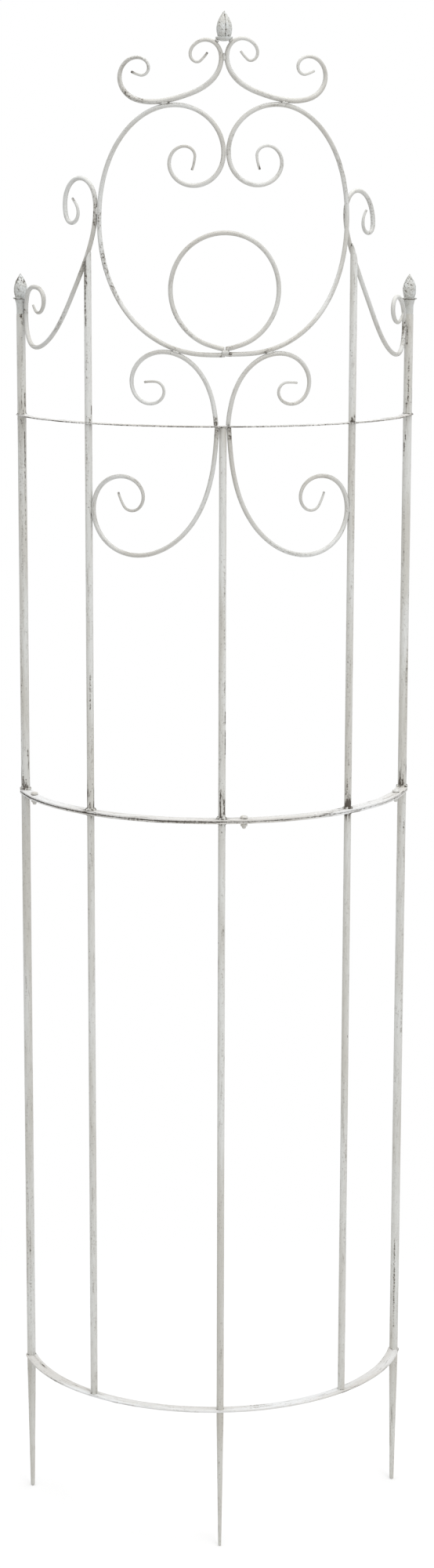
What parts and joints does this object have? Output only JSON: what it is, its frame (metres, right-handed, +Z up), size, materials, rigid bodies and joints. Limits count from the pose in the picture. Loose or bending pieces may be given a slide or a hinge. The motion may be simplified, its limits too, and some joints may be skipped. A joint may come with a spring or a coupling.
{
  "type": "half-round garden trellis",
  "caption": "Half-round scrolled garden trellis of welded steel rod in worn off-white paint, two frames bolted at the middle, with bud finials and ground spikes.",
  "frame": {"origin": "middle of the plan at the height of the spikes' tips, so the object stands on z = 0", "axes": "+Z up along the posts, -Y out of the bowed front, +X to the right as seen from the front"},
  "size_m": [0.486, 0.2052, 1.847],
  "materials": {
    "post_paint": "worn off-white paint with brown-black rub-through",
    "scroll_paint": "worn off-white paint with dark specks",
    "hoop_paint": "off-white paint on flat bar",
    "spike_paint": "thin off-white paint",
    "bud_paint": "cast and painted, mottled grey-white",
    "bolt_paint": "painted steel fixings"
  },
  "bodies": {
    "root": {"arch_left": "scroll_paint", "arch_right": "scroll_paint", "bolt_left": "bolt_paint", "bolt_middle": "bolt_paint", "bolt_right": "bolt_paint", "bottom_hoop": "hoop_paint", "bud_left": "bud_paint", "bud_right": "bud_paint", "bud_top": "bud_paint", "centre_ring": "scroll_paint", "collar_left": "bud_paint", "collar_right": "bud_paint", "inner_post_top_left": "post_paint", "inner_post_top_right": "post_paint", "lower_joint_hoop": "hoop_paint", "lower_post_centre": "post_paint", "lower_post_inner_left": "post_paint", "lower_post_inner_right": "post_paint", "lower_post_outer_left": "post_paint", "lower_post_outer_right": "post_paint", "lower_scroll_left": "scroll_paint", "lower_scroll_right": "scroll_paint", "nut_left": "bolt_paint", "nut_middle": "bolt_paint", "nut_right": "bolt_paint", "outer_post_top_left": "post_paint", "outer_post_top_right": "post_paint", "side_scroll_left": "scroll_paint", "side_scroll_right": "scroll_paint", "spike_centre": "spike_paint", "spike_left": "spike_paint", "spike_right": "spike_paint", "top_cup": "bud_paint", "top_hoop": "hoop_paint", "top_scroll_left": "scroll_paint", "top_scroll_right": "scroll_paint", "upper_joint_hoop": "hoop_paint", "upper_post_centre": "post_paint", "upper_post_inner_left": "post_paint", "upper_post_inner_right": "post_paint", "upper_post_outer_left": "post_paint", "upper_post_outer_right": "post_paint", "upper_scroll_left": "scroll_paint", "upper_scroll_right": "scroll_paint"}
  },
  "joints": []
}
